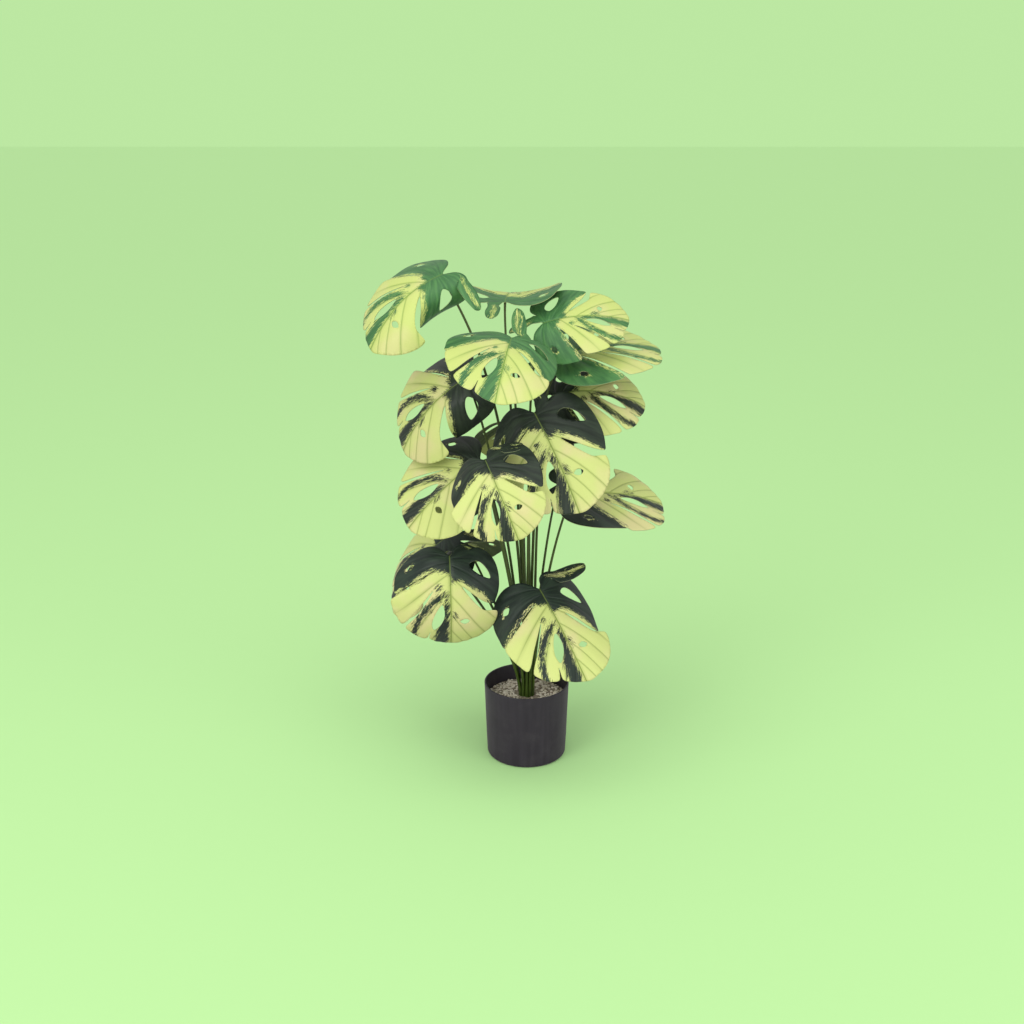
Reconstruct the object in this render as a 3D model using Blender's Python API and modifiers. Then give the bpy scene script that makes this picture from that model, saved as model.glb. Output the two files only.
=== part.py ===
"""Artificial monstera plant in a round plastic pot: 19 printed leaves on wire petioles that stand in a
cast filler under a layer of stone chips. Metres, +Z up, origin at the middle of the pot's flat base."""

import math

import bmesh
import bpy
from mathutils import Vector, noise

# Pot
POT_HEIGHT = 0.128
POT_RIM_RADIUS = 0.070
POT_FOOT_RADIUS = 0.0655
POT_WALL = 0.0025
POT_FLOOR = 0.004
FOOT_ROUNDING = 0.006
FOOT_ROUNDING_STEPS = 4
TURN_STEPS = 40

# Fill inside the pot
GAP = 0.0003
GRAVEL_BELOW_RIM = 0.027
GRAVEL_DEPTH = 0.010
GRAVEL_MOUND = 0.003
GRAVEL_BUMP = 0.0012
GRAVEL_BUMPS_PER_METRE = 150
GRAVEL_RINGS = 3
SOCKET_DEPTH = 0.045

# Petioles
FOOT_DIAMETER = 0.0050
NECK_DIAMETER = 0.0032
PETIOLE_SPACING = 0.0003
PETIOLE_SEGMENTS = 8
NECK_LEAN = math.radians(30)
NECK_SHARE = 0.12
FIRST_LEAN = 0.12

# Leaves
LEAF_LENGTH = 0.170
LEAF_THICKNESS = 0.0009
DESIGN_LEAF_LENGTH = 0.170
DESIGN_POT_HEIGHT = 0.128
CROWN_SCALE = LEAF_LENGTH / DESIGN_LEAF_LENGTH

# The die-cut outline, in midrib lengths: first number across to the leaf's right, second along to its tip.
FINGER = [(0.05, -0.12), (0.16, -0.33), (0.27, -0.39), (0.31, -0.30)]
RIGHT_BACK_LOBE = [
    (0.17, -0.08), (0.29, -0.14), (0.41, -0.11), (0.50, 0.02), (0.53, 0.20), (0.52, 0.38), (0.46, 0.54)
]
RIGHT_SLIT = [(0.28, 0.44), (0.11, 0.30), (0.26, 0.50)]
RIGHT_FRONT = [(0.44, 0.575), (0.44, 0.69), (0.35, 0.83), (0.21, 0.93)]
TIP = [(0.05, 0.98)]
LEFT_FRONT = [(-0.10, 0.95), (-0.21, 0.89), (-0.19, 0.77), (-0.23, 0.88), (-0.34, 0.85), (-0.43, 0.74)]
LEFT_MIDDLE_SLIT = [(-0.16, 0.32)]
LEFT_MIDDLE = [(-0.46, 0.71), (-0.54, 0.58), (-0.56, 0.42)]
LEFT_BACK_SLIT = [(-0.12, 0.12)]
LEFT_BACK_LOBE = [(-0.58, 0.37), (-0.61, 0.20), (-0.57, 0.02), (-0.45, -0.13), (-0.30, -0.19), (-0.13, -0.14)]
SINUS = [(0.0, -0.02)]
OUTLINE = (
    SINUS + FINGER + RIGHT_BACK_LOBE + RIGHT_SLIT + RIGHT_FRONT + TIP
    + LEFT_FRONT + LEFT_MIDDLE_SLIT + LEFT_MIDDLE + LEFT_BACK_SLIT + LEFT_BACK_LOBE
)
HOLES = [
    [(0.19, 0.07), (0.28, 0.03), (0.39, 0.12), (0.40, 0.20), (0.27, 0.16)],
    [(0.085, 0.64), (0.13, 0.61), (0.175, 0.64), (0.13, 0.67)],
    [(-0.08, 0.46), (-0.06, 0.58), (-0.15, 0.74), (-0.19, 0.66), (-0.14, 0.54)],
]
BEND_LINES_ACROSS = (0.0, 0.33, 0.66)
BEND_LINES_ALONG = (-0.30, 0.0, 0.28)

# Where the back lobes and the finger hinge on the blade: a point of the hinge line, the way out of it,
# and the way that the slit beside the lobe runs.
LEFT_HINGE = (Vector((-0.12, 0.12)), Vector((-0.954, -0.300)), Vector((-0.45, 0.265)))
RIGHT_HINGE = (Vector((0.11, 0.30)), Vector((0.988, 0.156)), Vector((0.33, 0.27)))
HINGE_WIDTH = 0.15
FINGER_HINGE = Vector((0.10, -0.08))
FINGER_WAY_OUT = Vector((0.500, -0.866))
FINGER_TURN_LENGTH = 0.12
FINGER_LINE_START = -0.02
FINGER_LINE_SLOPE = -0.48


def leaf(name, at, heading, pitch, droop, roll, sides, size, lobes, stand, finger=(0, 0), reach=0.45):
    """One leaf. at: its junction, metres. heading: 0 to the front, 90 to the right, degrees.
    pitch: downward slope at the junction. droop: how much steeper the slope gets over the midrib.
    roll: lowers the right side. sides: downward bend of the left and right half, per midrib length.
    lobes: extra bend of the left and right back lobe. finger: its turn and its lift.
    stand: ring and clock angle of the petiole's foot. reach: share of the height where it leans out."""
    return {
        "name": name,
        "at": at,
        "heading": math.radians(heading),
        "pitch": math.radians(pitch),
        "droop": math.radians(droop),
        "roll": math.radians(roll),
        "sides": [math.radians(side) for side in sides],
        "length": LEAF_LENGTH * size,
        "lobes": [math.radians(lobe) for lobe in lobes],
        "finger": [math.radians(angle) for angle in finger],
        "stand": stand,
        "reach": reach,
    }


LEAVES = [
    leaf("front_low_right", (0.02, -0.08, 0.32), 30, 35, 15, -5, (45, 45), 0.98, (25, 15), (2, 30), (60, 75)),
    leaf("front_low_left", (-0.12, -0.095, 0.38), 5, 40, 100, 0, (40, 50), 0.96, (20, 15), (2, -60), (60, -60)),
    leaf("front_middle", (-0.062, -0.165, 0.552), 10, 32, 58, -20, (30, 30), 0.78, (30, 0), (2, -30), (60, 0)),
    leaf("front_high_right", (0.01, -0.082, 0.602), 20, 42, 28, -15, (15, 40), 1, (50, 0), (2, 0), (-40, 80)),
    leaf("left_middle", (-0.075, -0.045, 0.52), -45, 25, 40, 25, (45, 45), 0.92, (5, 60), (1, -60), (-40, 0)),
    leaf("left_high", (-0.095, -0.03, 0.645), -60, 35, 55, 30, (40, 80), 0.98, (15, 50), (1, -120), (0, -60)),
    leaf("left_top", (-0.13, -0.02, 0.8), -60, 20, 55, 15, (30, 160), 0.96, (5, 60), (0, 0), (50, 60), 0.75),
    leaf("front_top", (-0.025, -0.075, 0.715), -5, 5, 50, 10, (25, 35), 0.9, (5, 15), (1, 0), (-50, 100)),
    leaf("right_top", (0.025, 0.0, 0.725), 95, -20, 40, -25, (45, 0), 0.8, (25, 0), (1, 60), (-30, 0)),
    leaf("right_high", (0.055, 0.02, 0.67), 110, -20, 40, -10, (30, 0), 1.0, (0, 0), (1, 120), (-30, 0), 0.9),
    leaf("right_middle", (0.04, 0.01, 0.61), 90, -20, 60, -25, (45, 20), 0.92, (20, 0), (2, 90), (0, 20), 0.3),
    leaf("right_low", (0.07, -0.03, 0.46), 105, -5, 35, -20, (5, 10), 0.97, (-10, 0), (2, 60), (-60, 40)),
    leaf("back_top", (-0.035, 0.035, 0.752), 175, -10, 30, 0, (-40, -40), 0.85, (0, 0), (1, 180), (-30, 0)),
    leaf("left_low", (-0.125, -0.005, 0.385), -75, 35, 45, 15, (40, 45), 1.0, (20, 40), (2, -90), (0, 0)),
    leaf("back_low_right", (0.045, 0.04, 0.43), 150, 0, 40, 0, (60, 60), 0.75, (15, 15), (2, 120), (-80, 40)),
    leaf("back_middle", (-0.01, 0.084, 0.55), 180, 20, 45, 0, (40, 40), 0.95, (15, 15), (2, 180), (-30, 0)),
    leaf("back_left_middle", (-0.07, 0.06, 0.48), -135, 25, 45, 0, (40, 40), 0.95, (15, 15), (2, -150), (-30, 0)),
    leaf("back_left_low", (-0.1, 0.06, 0.35), -135, 30, 40, 0, (40, 40), 0.85, (15, 15), (2, -120), (-30, 0)),
]

# Materials: base colour, roughness, metallic
POT_PLASTIC = ((0.040, 0.037, 0.042), 0.45, 0.0)
CEMENT = ((0.45, 0.43, 0.40), 0.9, 0.0)
STONE_CHIPS = ((0.62, 0.55, 0.44), 0.85, 0.0)
PETIOLE_GREEN = ((0.060, 0.095, 0.025), 0.5, 0.0)
LEAF_CREAM = ((0.62, 0.66, 0.26), 0.5, 0.0)


def clear_scene():
    for item in list(bpy.data.objects):
        bpy.data.objects.remove(item, do_unlink=True)


def new_collection(name):
    made = bpy.data.collections.new(name)
    bpy.context.scene.collection.children.link(made)
    return made


def make_material(name, finish):
    colour, roughness, metallic = finish
    material = bpy.data.materials.new(name)
    material.use_nodes = True
    shader = material.node_tree.nodes["Principled BSDF"]
    shader.inputs["Base Color"].default_value = (*colour, 1.0)
    shader.inputs["Roughness"].default_value = roughness
    shader.inputs["Metallic"].default_value = metallic
    return material


def pot_inner_radius(height):
    """Radius of the pot's inner face at a height above its base."""
    lean = (POT_RIM_RADIUS - POT_FOOT_RADIUS) / POT_HEIGHT
    return POT_FOOT_RADIUS + lean * height - POT_WALL


def turned(name, profile, finish, parts):
    """A solid of revolution about Z from an (r, z) profile whose outer side runs downwards."""
    mesh = bpy.data.meshes.new(name)
    points = [(radius, 0.0, height) for radius, height in profile]
    edges = [(i, i + 1) for i in range(len(points) - 1)]
    if profile[0][0] > 0.0:
        edges.append((len(points) - 1, 0))
    mesh.from_pydata(points, edges, [])
    made = bpy.data.objects.new(name, mesh)
    parts.objects.link(made)
    screw = made.modifiers.new("Turn", "SCREW")
    screw.steps = TURN_STEPS
    screw.render_steps = TURN_STEPS
    screw.use_merge_vertices = True
    screw.merge_threshold = 0.00001
    made.data.materials.append(make_material(name, finish))
    return made


def bundle_radius():
    """Radius of the round bundle that the petioles' feet make."""
    pitch = FOOT_DIAMETER + PETIOLE_SPACING
    return 2 * pitch + FOOT_DIAMETER / 2


def gravel_top(radius):
    """Height of the stone layer at a distance from the axis: it is mounded a little in the middle."""
    edge = pot_inner_radius(POT_HEIGHT)
    return POT_HEIGHT - GRAVEL_BELOW_RIM + GRAVEL_MOUND * (1 - (radius / edge) ** 2)


def make_pot(parts):
    inner_foot = pot_inner_radius(POT_FLOOR)
    profile = [(0.0, POT_FLOOR), (inner_foot, POT_FLOOR)]
    profile += [(pot_inner_radius(POT_HEIGHT), POT_HEIGHT), (POT_RIM_RADIUS, POT_HEIGHT)]
    for step in range(FOOT_ROUNDING_STEPS + 1):
        angle = math.radians(90) * step / FOOT_ROUNDING_STEPS
        radius = POT_FOOT_RADIUS - FOOT_ROUNDING * (1 - math.cos(angle))
        profile.append((radius, FOOT_ROUNDING * (1 - math.sin(angle))))
    profile.append((0.0, 0.0))
    turned("pot", profile, POT_PLASTIC, parts)


def make_filler(parts):
    """The cast weight, from the pot's floor to the stones, with a socket for the petioles' feet."""
    low = POT_FLOOR + GAP
    high = gravel_top(pot_inner_radius(POT_HEIGHT)) - GRAVEL_DEPTH - GAP
    socket = bundle_radius() + GAP
    profile = [(0.0, high - SOCKET_DEPTH), (socket, high - SOCKET_DEPTH), (socket, high)]
    profile += [(pot_inner_radius(high) - GAP, high), (pot_inner_radius(low) - GAP, low), (0.0, low)]
    turned("filler", profile, CEMENT, parts)


def make_gravel(parts):
    """One bumpy ring of stone chips between the bundle and the pot's wall."""
    low = gravel_top(pot_inner_radius(POT_HEIGHT)) - GRAVEL_DEPTH
    inner = bundle_radius() + GAP
    outer = pot_inner_radius(low) - GAP
    made = bmesh.new()
    rings = []
    for ring in range(GRAVEL_RINGS + 1):
        radius = inner + (outer - inner) * ring / GRAVEL_RINGS
        rings.append([])
        for step in range(TURN_STEPS):
            angle = math.tau * step / TURN_STEPS
            x = radius * math.cos(angle)
            y = radius * math.sin(angle)
            bump = GRAVEL_BUMP * noise.noise(Vector((x, y, 0.0)) * GRAVEL_BUMPS_PER_METRE)
            rings[ring].append(made.verts.new((x, y, gravel_top(radius) + bump)))
    base = []
    for radius in (outer, inner):
        ring = []
        for step in range(TURN_STEPS):
            angle = math.tau * step / TURN_STEPS
            ring.append(made.verts.new((radius * math.cos(angle), radius * math.sin(angle), low)))
        base.append(ring)
    loops = rings + base
    for here, there in zip(loops, loops[1:] + loops[:1]):
        for step in range(TURN_STEPS):
            after = (step + 1) % TURN_STEPS
            made.faces.new((here[step], there[step], there[after], here[after]))
    bmesh.ops.recalc_face_normals(made, faces=made.faces)
    mesh = bpy.data.meshes.new("gravel")
    made.to_mesh(mesh)
    made.free()
    gravel = bpy.data.objects.new("gravel", mesh)
    parts.objects.link(gravel)
    gravel.data.materials.append(make_material("gravel", STONE_CHIPS))


def leaf_blank():
    """The flat die-cut blank at a midrib length of 1, with edges along the lines where it bends."""
    curve = bpy.data.curves.new("blank", "CURVE")
    curve.dimensions = "2D"
    curve.fill_mode = "BOTH"
    for loop in [OUTLINE] + HOLES:
        spline = curve.splines.new("POLY")
        spline.points.add(len(loop) - 1)
        for point, (across, along) in zip(spline.points, loop):
            point.co = (across, along, 0.0, 1.0)
        spline.use_cyclic_u = True
    source = bpy.data.objects.new("blank", curve)
    bpy.context.scene.collection.objects.link(source)
    graph = bpy.context.evaluated_depsgraph_get()
    mesh = bpy.data.meshes.new_from_object(source.evaluated_get(graph))
    bpy.data.objects.remove(source)
    flat = bmesh.new()
    flat.from_mesh(mesh)
    bpy.data.meshes.remove(mesh)
    bmesh.ops.remove_doubles(flat, verts=flat.verts, dist=0.0001)
    bmesh.ops.dissolve_limit(flat, angle_limit=0.01, verts=[], edges=flat.edges)
    cuts = [((0.0, along, 0.0), (0.0, 1.0, 0.0)) for along in BEND_LINES_ACROSS]
    cuts += [((across, 0.0, 0.0), (1.0, 0.0, 0.0)) for across in BEND_LINES_ALONG]
    for point, normal in cuts:
        bmesh.ops.bisect_plane(
            flat, geom=flat.verts[:] + flat.edges[:] + flat.faces[:], dist=0.004, plane_co=point, plane_no=normal
        )
    bmesh.ops.triangulate(flat, faces=flat.faces)
    bmesh.ops.recalc_face_normals(flat, faces=flat.faces)
    if sum(face.normal.z for face in flat.faces) < 0:
        bmesh.ops.reverse_faces(flat, faces=flat.faces)
    return flat


def arc(bend, length):
    """Run and drop of a strip that bends evenly by `bend` radians per unit of its length."""
    if abs(bend) < 0.0001:
        return length, 0.0
    return math.sin(bend * length) / bend, (1 - math.cos(bend * length)) / bend


def is_finger(across, along):
    return across > 0.0 and along < FINGER_LINE_START + FINGER_LINE_SLOPE * across


def bend_finger(flat, turn, lift):
    """The finger turns in the blade's plane over its first part, and lifts off it along its length."""
    offset = flat - FINGER_HINGE
    out = max(0.0, offset.dot(FINGER_WAY_OUT))
    angle = turn * min(1.0, out / FINGER_TURN_LENGTH)
    across = FINGER_HINGE.x + offset.x * math.cos(angle) - offset.y * math.sin(angle)
    along = FINGER_HINGE.y + offset.x * math.sin(angle) + offset.y * math.cos(angle)
    return Vector((across, along, out * math.tan(lift * out)))


def bend_lobe(point, flat, hinge, bend, side):
    """A back lobe curls down past its hinge line. The slit beside it lets it leave the blade."""
    root, way_out, slit = hinge
    offset = flat - root
    out = max(0.0, offset.dot(way_out))
    if side * (slit.x * offset.y - slit.y * offset.x) < -0.000001:
        return point
    curl = min(out, HINGE_WIDTH)
    run, drop = arc(bend / HINGE_WIDTH, curl)
    angle = bend * curl / HINGE_WIDTH
    run += (out - curl) * math.cos(angle)
    drop += (out - curl) * math.sin(angle)
    shift = (run - out) * way_out
    return Vector((point.x + shift.x, point.y + shift.y, point.z - drop))


def bent(across, along, pose):
    """A point of the flat blank on the bent leaf: junction at the origin, heading along -Y, metres."""
    flat = Vector((across, along))
    if is_finger(across, along):
        point = bend_finger(flat, *pose["finger"])
    else:
        point = Vector((across, along, 0.0))
        point = bend_lobe(point, flat, LEFT_HINGE, pose["lobes"][0], 1)
        point = bend_lobe(point, flat, RIGHT_HINGE, pose["lobes"][1], -1)
    hand = -1 if point.x < 0 else 1
    side = pose["sides"][0] if hand < 0 else pose["sides"][1]
    width = abs(point.x)
    run, drop = arc(side, width)
    sideways = hand * (run + point.z * math.sin(side * width))
    proud = point.z * math.cos(side * width) - drop
    slope = pose["pitch"] + pose["droop"] * point.y
    if abs(pose["droop"]) < 0.0001:
        forward = math.cos(slope) * point.y
        down = math.sin(slope) * point.y
    else:
        forward = (math.sin(slope) - math.sin(pose["pitch"])) / pose["droop"]
        down = (math.cos(pose["pitch"]) - math.cos(slope)) / pose["droop"]
    forward += proud * math.sin(slope)
    up = proud * math.cos(slope) - down
    roll = pose["roll"]
    x = sideways * math.cos(roll) + up * math.sin(roll)
    z = up * math.cos(roll) - sideways * math.sin(roll)
    return Vector((x, -forward, z)) * pose["length"]


def junction(pose):
    """The leaf's junction in the whole plant: the crown grows with the leaf about the pot's rim."""
    x, y, z = pose["at"]
    rise = (z - DESIGN_POT_HEIGHT) * CROWN_SCALE
    return Vector((x * CROWN_SCALE, y * CROWN_SCALE, POT_HEIGHT + rise))


def make_leaf(pose, blank, finish, parts):
    name = "leaf_" + pose["name"]
    shaped = blank.copy()
    for vertex in shaped.verts:
        vertex.co = bent(vertex.co.x, vertex.co.y, pose)
    mesh = bpy.data.meshes.new(name)
    shaped.to_mesh(mesh)
    shaped.free()
    made = bpy.data.objects.new(name, mesh)
    made.location = junction(pose)
    made.rotation_euler = (0.0, 0.0, pose["heading"])
    parts.objects.link(made)
    wall = made.modifiers.new("Thickness", "SOLIDIFY")
    wall.thickness = LEAF_THICKNESS
    wall.offset = 0.0
    made.data.materials.append(make_material(name, finish))


def foot(ring, clock):
    """Where a petiole's foot stands in the bundle: one in the middle, six round it, twelve outside."""
    radius = ring * (FOOT_DIAMETER + PETIOLE_SPACING)
    angle = math.radians(clock)
    return Vector((radius * math.sin(angle), -radius * math.cos(angle)))


def petiole_end(pose):
    """The petiole stops just under the leaf, at the junction."""
    under = LEAF_THICKNESS / 2 + GAP + NECK_DIAMETER / 2
    roll = pose["roll"]
    pitch = pose["pitch"]
    x = math.cos(pitch) * math.sin(roll)
    forward = math.sin(pitch)
    z = math.cos(pitch) * math.cos(roll)
    heading = pose["heading"]
    normal = Vector((
        x * math.cos(heading) + forward * math.sin(heading),
        x * math.sin(heading) - forward * math.cos(heading),
        z,
    ))
    return junction(pose) - normal * under


def cubic(a, b, c, d, t):
    return a * (1 - t) ** 3 + b * 3 * t * (1 - t) ** 2 + c * 3 * t * t * (1 - t) + d * t ** 3


def make_petiole(pose, finish, parts):
    name = "petiole_" + pose["name"]
    x, y = foot(*pose["stand"])
    high = gravel_top(pot_inner_radius(POT_HEIGHT)) - GRAVEL_DEPTH - GAP
    bottom = Vector((x, y, high - SOCKET_DEPTH + GAP))
    start = Vector((x, y, gravel_top(bundle_radius()) + GRAVEL_BUMP))
    end = petiole_end(pose)
    height = end.z - start.z
    outward = Vector((end.x - x, end.y - y, 0.0))
    heading = pose["heading"]
    level = Vector((math.sin(heading), -math.cos(heading), 0.0))
    arrival = level * math.sin(NECK_LEAN) + Vector((0.0, 0.0, math.cos(NECK_LEAN)))
    first = start + Vector((0.0, 0.0, height * pose["reach"])) + outward * FIRST_LEAN
    second = end - arrival * height * NECK_SHARE
    points = [bottom]
    for step in range(PETIOLE_SEGMENTS + 1):
        points.append(cubic(start, first, second, end, step / PETIOLE_SEGMENTS))
    curve = bpy.data.curves.new(name, "CURVE")
    curve.dimensions = "3D"
    curve.bevel_depth = FOOT_DIAMETER / 2
    curve.bevel_resolution = 1
    curve.use_fill_caps = True
    spline = curve.splines.new("POLY")
    spline.points.add(len(points) - 1)
    for index, (target, point) in enumerate(zip(spline.points, points)):
        share = max(0.0, (index - 1) / PETIOLE_SEGMENTS)
        target.co = (*point, 1.0)
        target.radius = 1 + (NECK_DIAMETER / FOOT_DIAMETER - 1) * share
    made = bpy.data.objects.new(name, curve)
    parts.objects.link(made)
    made.data.materials.append(make_material(name, finish))


def main():
    clear_scene()
    parts = new_collection("potted_monstera")
    make_pot(parts)
    make_filler(parts)
    make_gravel(parts)
    blank = leaf_blank()
    for pose in LEAVES:
        make_leaf(pose, blank, LEAF_CREAM, parts)
        make_petiole(pose, PETIOLE_GREEN, parts)
    blank.free()


main()
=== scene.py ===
"""Looks of the artificial monstera plant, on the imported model's frame. Metres, +Z up."""

import math
import random

import bmesh
import bpy
from mathutils import Matrix, Vector, noise


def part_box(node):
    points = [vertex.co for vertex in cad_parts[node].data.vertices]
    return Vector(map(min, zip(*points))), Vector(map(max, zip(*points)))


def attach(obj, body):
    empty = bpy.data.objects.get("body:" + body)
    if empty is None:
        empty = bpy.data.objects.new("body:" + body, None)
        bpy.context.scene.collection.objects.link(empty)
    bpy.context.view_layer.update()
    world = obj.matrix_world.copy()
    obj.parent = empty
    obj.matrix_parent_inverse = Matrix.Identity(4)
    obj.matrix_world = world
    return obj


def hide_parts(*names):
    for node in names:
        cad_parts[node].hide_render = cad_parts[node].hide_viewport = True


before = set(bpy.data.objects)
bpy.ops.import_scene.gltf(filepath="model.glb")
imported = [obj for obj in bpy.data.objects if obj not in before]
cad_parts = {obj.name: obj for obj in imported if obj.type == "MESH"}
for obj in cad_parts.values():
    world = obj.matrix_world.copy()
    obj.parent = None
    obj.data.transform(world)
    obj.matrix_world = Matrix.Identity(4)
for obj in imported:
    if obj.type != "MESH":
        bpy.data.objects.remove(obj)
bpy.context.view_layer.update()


# ---- Pot ---------------------------------------------------------------------------------------------
# A plain round grow pot, injection moulded in one piece from near-black plastic. The wall leans out a
# little, the lip is rounded over, and the foot rolls under to a flat base with a shallow recess.
pot_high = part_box("pot")[1]
pot_height = pot_high.z
pot_rim_radius = pot_high.x
pot_lean = 0.0045
pot_foot_radius = pot_rim_radius - pot_lean
pot_wall = 0.0025
pot_floor = 0.004
foot_rounding = 0.006
foot_ring_outer = 0.012
foot_ring_inner = 0.014
base_recess_depth = 0.0008
rounding_steps = 8
turning_steps = 128


def pot_outer_radius(height):
    return pot_foot_radius + (pot_rim_radius - pot_foot_radius) * height / pot_height


def pot_inner_radius(height):
    return pot_outer_radius(height) - pot_wall


def turned(profile, steps=turning_steps):
    """A closed solid of revolution about Z from (radius, height) points; its ends lie on the axis."""
    made = bmesh.new()
    verts = [made.verts.new((radius, 0.0, height)) for radius, height in profile]
    edges = [made.edges.new(pair) for pair in zip(verts, verts[1:])]
    bmesh.ops.spin(
        made, geom=verts + edges, cent=(0, 0, 0), axis=(0, 0, 1), angle=math.tau, steps=steps, use_merge=True
    )
    bmesh.ops.remove_doubles(made, verts=made.verts, dist=0.00001)
    bmesh.ops.recalc_face_normals(made, faces=made.faces)
    return made


def finished(name, made, materials, nodes=(), smooth=True):
    """The mesh as a named piece that rides on the plant's one body and stands for its CAD nodes."""
    mesh = bpy.data.meshes.new(name)
    made.to_mesh(mesh)
    made.free()
    for polygon in mesh.polygons:
        polygon.use_smooth = smooth
    for material in materials:
        mesh.materials.append(material)
    piece = bpy.data.objects.new(name, mesh)
    bpy.context.scene.collection.objects.link(piece)
    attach(piece, "root")
    if nodes:
        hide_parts(*nodes)
    return piece


def place(tree, kind, inputs=None, **settings):
    """A shader node with its settings, and its inputs linked from sockets or set to values."""
    made = tree.nodes.new(kind)
    for key, value in settings.items():
        setattr(made, key, value)
    for key, value in (inputs or {}).items():
        if isinstance(value, bpy.types.NodeSocket):
            tree.links.new(value, made.inputs[key])
        else:
            made.inputs[key].default_value = value
    return made


def sums(tree, operation, first, second=0.0, third=0.0, clamp=False):
    numbers = {0: first, 1: second, 2: third}
    return place(tree, "ShaderNodeMath", numbers, operation=operation, use_clamp=clamp).outputs[0]


def blend(tree, share, first, second):
    """Colour between first and second."""
    made = place(tree, "ShaderNodeMix", data_type="RGBA")
    for socket, value in ((made.inputs[0], share), (made.inputs[6], first), (made.inputs[7], second)):
        if isinstance(value, bpy.types.NodeSocket):
            tree.links.new(value, socket)
        else:
            socket.default_value = value
    return made.outputs[2]


def ramp(tree, value, low, high, out_low=0.0, out_high=1.0):
    made = place(
        tree,
        "ShaderNodeMapRange",
        {"Value": value, "From Min": low, "From Max": high, "To Min": out_low, "To Max": out_high},
        interpolation_type="SMOOTHSTEP",
    )
    return made.outputs["Result"]


def cloud(tree, vector, scale, detail=2.0, roughness=0.5):
    values = {"Vector": vector, "Scale": scale, "Detail": detail, "Roughness": roughness}
    return place(tree, "ShaderNodeTexNoise", values).outputs["Fac"]


def new_group(name, inputs, outputs):
    """An empty shader group with its sockets: name, type and default of each input."""
    group = bpy.data.node_groups.new(name, "ShaderNodeTree")
    for label, kind, default in inputs:
        socket = group.interface.new_socket(label, in_out="INPUT", socket_type=kind)
        socket.default_value = default
    for label, kind in outputs:
        group.interface.new_socket(label, in_out="OUTPUT", socket_type=kind)
    return group, group.nodes.new("NodeGroupInput"), group.nodes.new("NodeGroupOutput")


def new_material(name, roughness, gloss=0.3):
    material = bpy.data.materials.new(name)
    material.use_nodes = True
    tree = material.node_tree
    shader = tree.nodes["Principled BSDF"]
    shader.inputs["Roughness"].default_value = roughness
    shader.inputs["Specular IOR Level"].default_value = gloss
    return material, tree, shader


def use_group(tree, group, **values):
    made = tree.nodes.new("ShaderNodeGroup")
    made.node_tree = group
    for key, value in values.items():
        socket = made.inputs[key.replace("_", " ")]
        if isinstance(value, bpy.types.NodeSocket):
            tree.links.new(value, socket)
        else:
            socket.default_value = value
    return made


def bump(tree, shader, height, distance, strength=1.0):
    made = place(tree, "ShaderNodeBump", {"Height": height, "Distance": distance, "Strength": strength})
    tree.links.new(made.outputs["Normal"], shader.inputs["Normal"])


FLOAT = "NodeSocketFloat"
COLOUR = "NodeSocketColor"

# Dust and handling marks: soft pale blotches that lie in the open, used on the pot and the stems.
dust, dust_in, dust_out = new_group(
    "settled_dust",
    [("Colour", COLOUR, (0, 0, 0, 1)), ("Dust Colour", COLOUR, (0.5, 0.5, 0.45, 1)), ("Amount", FLOAT, 0.1),
     ("Scale", FLOAT, 60.0), ("Roughness", FLOAT, 0.4)],
    [("Colour", COLOUR), ("Roughness", FLOAT)],
)
dust_grain_scale = 1400.0
dust_roughening = 0.45
dust_place = place(dust, "ShaderNodeTexCoord").outputs["Object"]
broad_dust = ramp(dust, cloud(dust, dust_place, dust_in.outputs["Scale"], 4.0, 0.65), 0.42, 0.78)
fine_dust = ramp(dust, cloud(dust, dust_place, dust_grain_scale, 1.0), 0.35, 0.75, 0.5, 1.0)
dust_mask = sums(dust, "MULTIPLY", sums(dust, "MULTIPLY", broad_dust, fine_dust), dust_in.outputs["Amount"])
dusted = blend(dust, dust_mask, dust_in.outputs["Colour"], dust_in.outputs["Dust Colour"])
dulled = sums(dust, "MULTIPLY_ADD", dust_mask, dust_roughening, dust_in.outputs["Roughness"], clamp=True)
dust.links.new(dusted, dust_out.inputs["Colour"])
dust.links.new(dulled, dust_out.inputs["Roughness"])

lip_rounding = pot_wall / 2
pot_profile = [(0.0, base_recess_depth), (pot_foot_radius - foot_ring_inner, base_recess_depth)]
pot_profile.append((pot_foot_radius - foot_ring_outer, 0.0))
for step in range(rounding_steps + 1):
    angle = math.radians(90) * step / rounding_steps
    pot_profile.append((
        pot_foot_radius - foot_rounding * (1 - math.sin(angle)),
        foot_rounding * (1 - math.cos(angle)),
    ))
for share in (0.25, 0.5, 0.75, 0.9):
    pot_profile.append((pot_outer_radius(pot_height * share), pot_height * share))
for step in range(rounding_steps + 1):
    angle = math.radians(180) * step / rounding_steps
    pot_profile.append((
        pot_rim_radius - lip_rounding + lip_rounding * math.cos(angle),
        pot_height - lip_rounding + lip_rounding * math.sin(angle),
    ))
for height in (pot_height * 0.5, pot_floor):
    pot_profile.append((pot_inner_radius(height), height))
pot_profile.append((0.0, pot_floor))

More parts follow.
